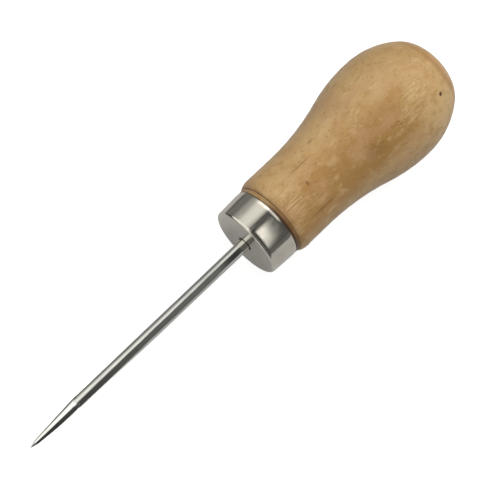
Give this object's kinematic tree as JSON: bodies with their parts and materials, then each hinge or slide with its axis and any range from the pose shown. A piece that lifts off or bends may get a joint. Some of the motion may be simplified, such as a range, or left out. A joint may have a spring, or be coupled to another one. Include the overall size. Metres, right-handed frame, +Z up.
{
  "type": "bradawl",
  "caption": "Hand awl for starting screw holes: a round steel blade with a ground point in a pear-shaped turned wooden handle with a plated ferrule.",
  "frame": {"origin": "on the bench under the middle of the tool, halfway between the foremost place of the point and the rearmost place of the butt", "axes": "+Z up from the bench that the tool lies on; the point faces -X and the butt +X; the tool's own axis lies in the XZ plane and rises 6.86 degrees from the point to the butt, because the tool rests on the edge of its ferrule and on the swell of its handle"},
  "size_m": [0.131, 0.0292, 0.0294],
  "materials": {
    "handle_wood": "turned pale hardwood under a thin satin lacquer, with fine pores and short flecks along the grain",
    "ferrule_plating": "nickel plating, bright on the side and satin on the face",
    "blade_steel": "drawn steel rod, polished lengthwise, with a finer grind round the point"
  },
  "bodies": {
    "root": {"handle": "handle_wood", "ferrule": "ferrule_plating", "blade": "blade_steel"}
  },
  "joints": []
}
